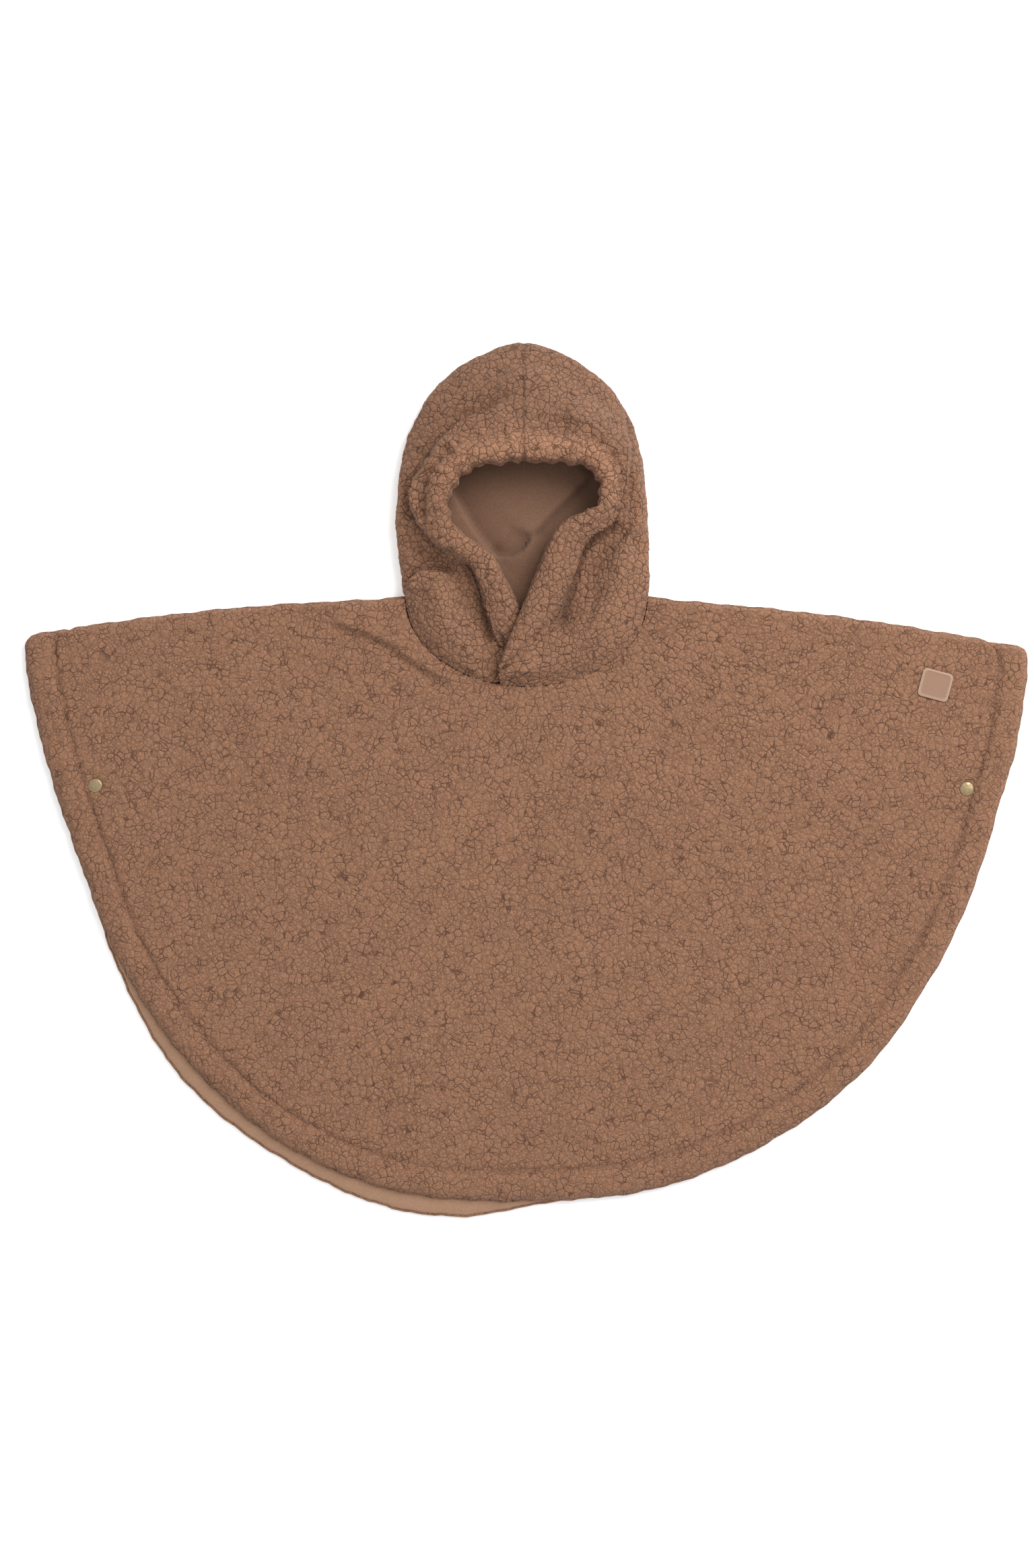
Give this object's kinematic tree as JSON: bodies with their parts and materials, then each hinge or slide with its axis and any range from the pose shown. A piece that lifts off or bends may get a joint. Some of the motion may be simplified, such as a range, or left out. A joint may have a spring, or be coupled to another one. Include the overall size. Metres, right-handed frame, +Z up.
{
  "type": "hooded fleece poncho, laid flat",
  "caption": "Toddler's hooded poncho in curly pile fleece, laid flat with its front up, with a gathered face edge on the hood, a turned and topstitched hem, side snaps and a bare label.",
  "frame": {"origin": "under the middle of the laid outline, on the surface that the garment lies on", "axes": "+X across the garment towards the wearer's left hand wing, +Y from the hem towards the hood, +Z up out of the surface"},
  "size_m": [0.8774, 0.7646, 0.0521],
  "materials": {
    "pile_fleece": "curly sheep-like pile, matt, warm brown",
    "smooth_fleece": "short smooth nap, matt, warm brown",
    "snap_metal": "satin, dulled beige brass",
    "label_cloth": "plain tight weave, tan, edge stitched"
  },
  "bodies": {
    "root": {"front_panel": "pile_fleece", "back_panel": "pile_fleece", "back_lining": "smooth_fleece", "hood_left": "pile_fleece", "hood_right": "pile_fleece", "hood_lining_left": "smooth_fleece", "hood_lining_right": "smooth_fleece", "stud_socket_left": "snap_metal", "stud_knob_left": "snap_metal", "stud_socket_right": "snap_metal", "stud_knob_right": "snap_metal", "label": "label_cloth"}
  },
  "joints": []
}
